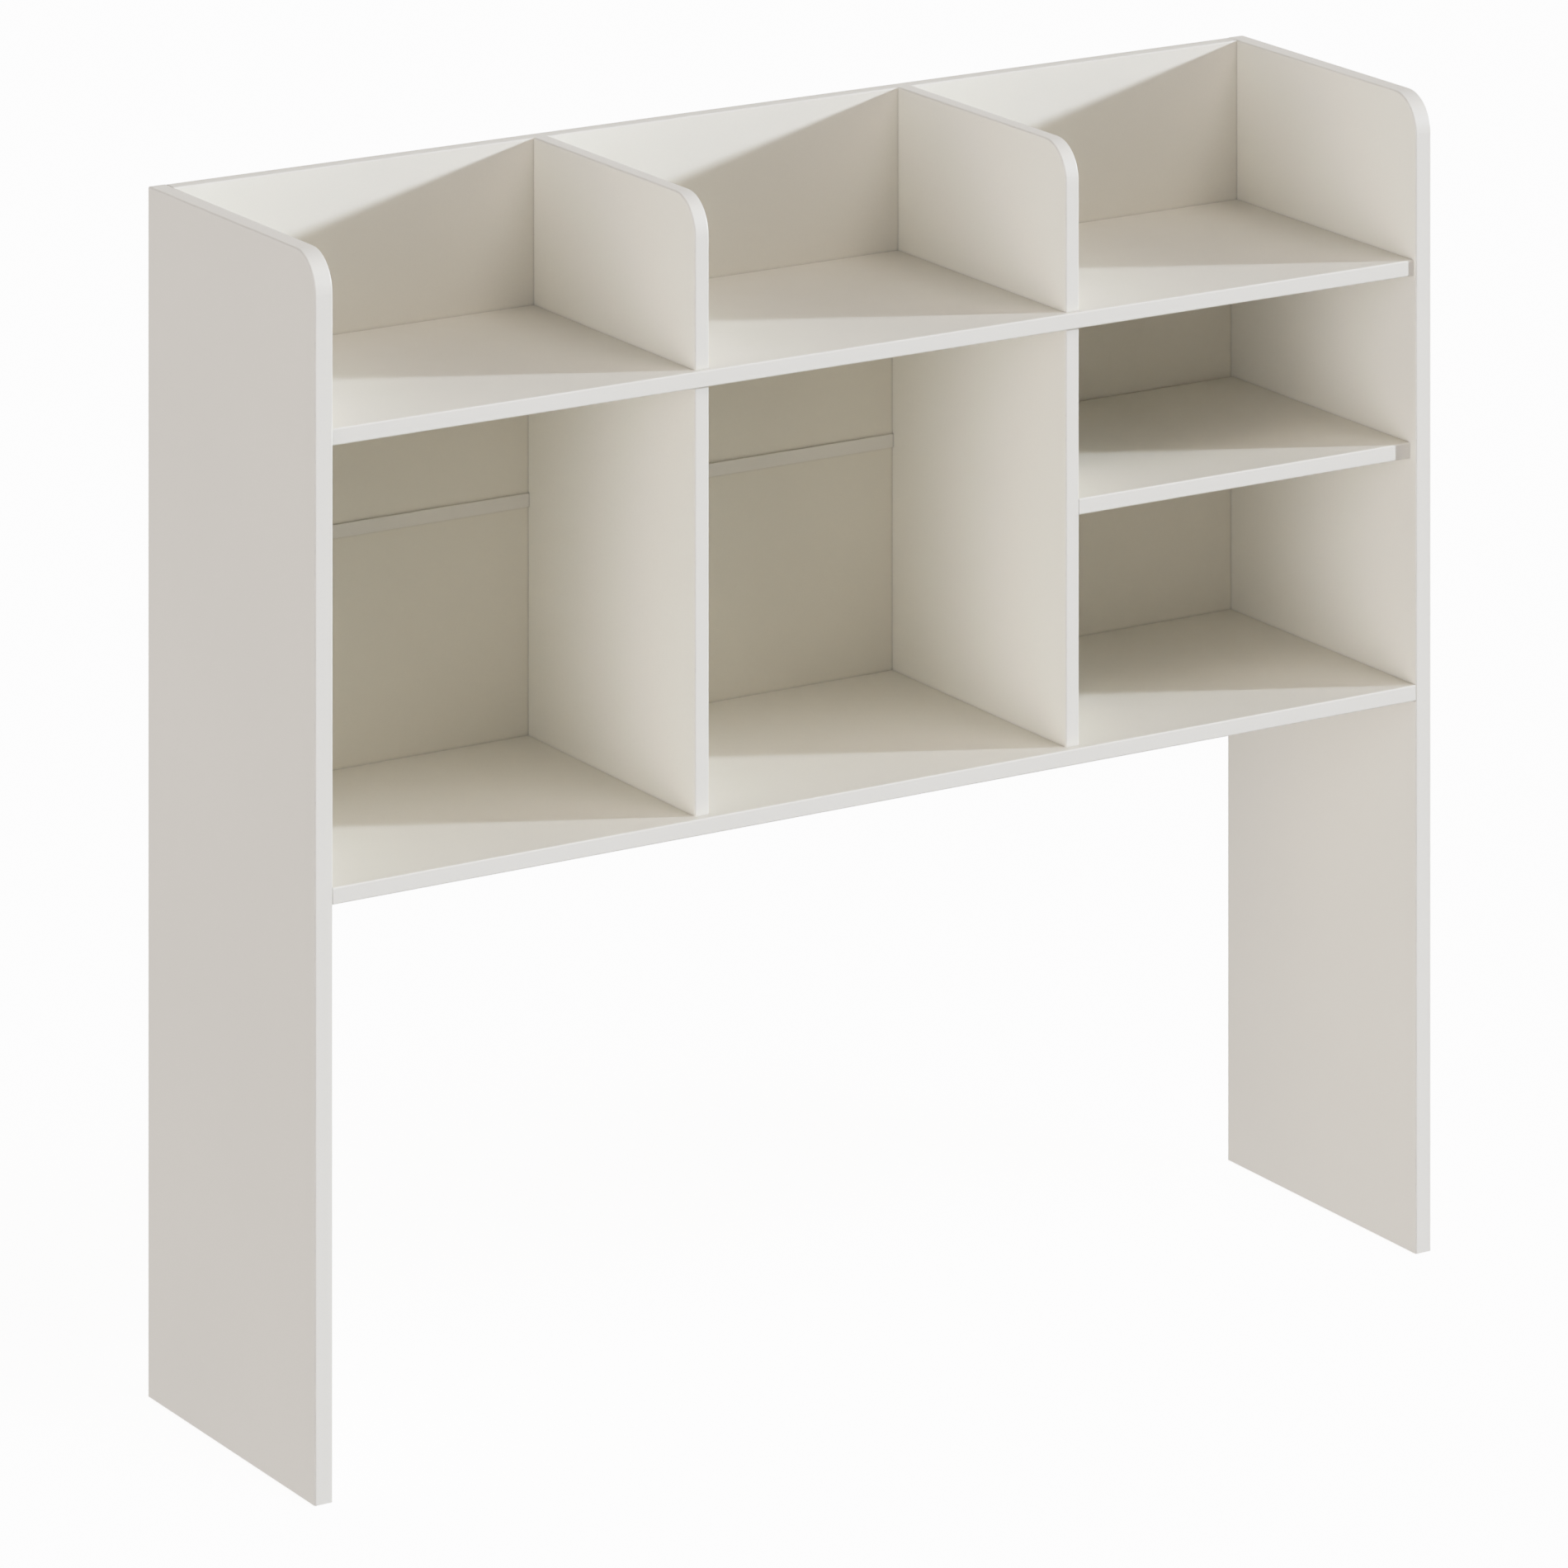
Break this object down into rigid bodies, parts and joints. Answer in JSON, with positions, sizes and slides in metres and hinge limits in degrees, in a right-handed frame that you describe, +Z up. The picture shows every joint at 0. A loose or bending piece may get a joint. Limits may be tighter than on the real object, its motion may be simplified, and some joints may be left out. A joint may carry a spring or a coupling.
{
  "type": "desk hutch",
  "caption": "Open desk hutch: tall side panels carry a bottom shelf and a long upper shelf with dividers, a short middle shelf and a backed open top tier, clear of the desk below.",
  "frame": {"origin": "middle of the footprint, on the plane the side panels stand on", "axes": "+Z up, +X to the right seen from the front, +Y towards the back"},
  "size_m": [1.2, 0.308, 1.088],
  "materials": {
    "melamine_board": "matte white melamine on chipboard",
    "edge_band": "matte white",
    "back_sheet": "white-painted hardboard",
    "joining_strip": "matte white",
    "steel_hardware": "zinc plated",
    "zinc_cam": "cast zinc alloy",
    "cover_cap": "matte white",
    "beech_dowel": "plain beech"
  },
  "bodies": {
    "root": {"left_side_panel": "melamine_board", "right_side_panel": "melamine_board", "bottom_shelf": "melamine_board", "long_shelf": "melamine_board", "middle_shelf": "melamine_board", "lower_divider_left": "melamine_board", "lower_divider_right": "melamine_board", "upper_divider_left": "melamine_board", "upper_divider_right": "melamine_board", "upper_back_board": "melamine_board", "left_side_panel_edge_band": "edge_band", "right_side_panel_edge_band": "edge_band", "bottom_shelf_edge_band": "edge_band", "long_shelf_edge_band": "edge_band", "middle_shelf_edge_band": "edge_band", "lower_divider_left_edge_band": "edge_band", "lower_divider_right_edge_band": "edge_band", "upper_divider_left_edge_band": "edge_band", "upper_divider_right_edge_band": "edge_band", "upper_back_board_edge_band": "edge_band", "back_sheet_lower": "back_sheet", "back_sheet_upper": "back_sheet", "back_joining_strip": "joining_strip", "cam_bolts": "steel_hardware", "cam_locks": "zinc_cam", "cam_cover_caps": "cover_cap", "wooden_dowels": "beech_dowel", "divider_screws": "steel_hardware", "divider_screw_caps": "cover_cap", "back_board_screws": "steel_hardware", "back_sheet_screws": "steel_hardware"}
  },
  "joints": []
}
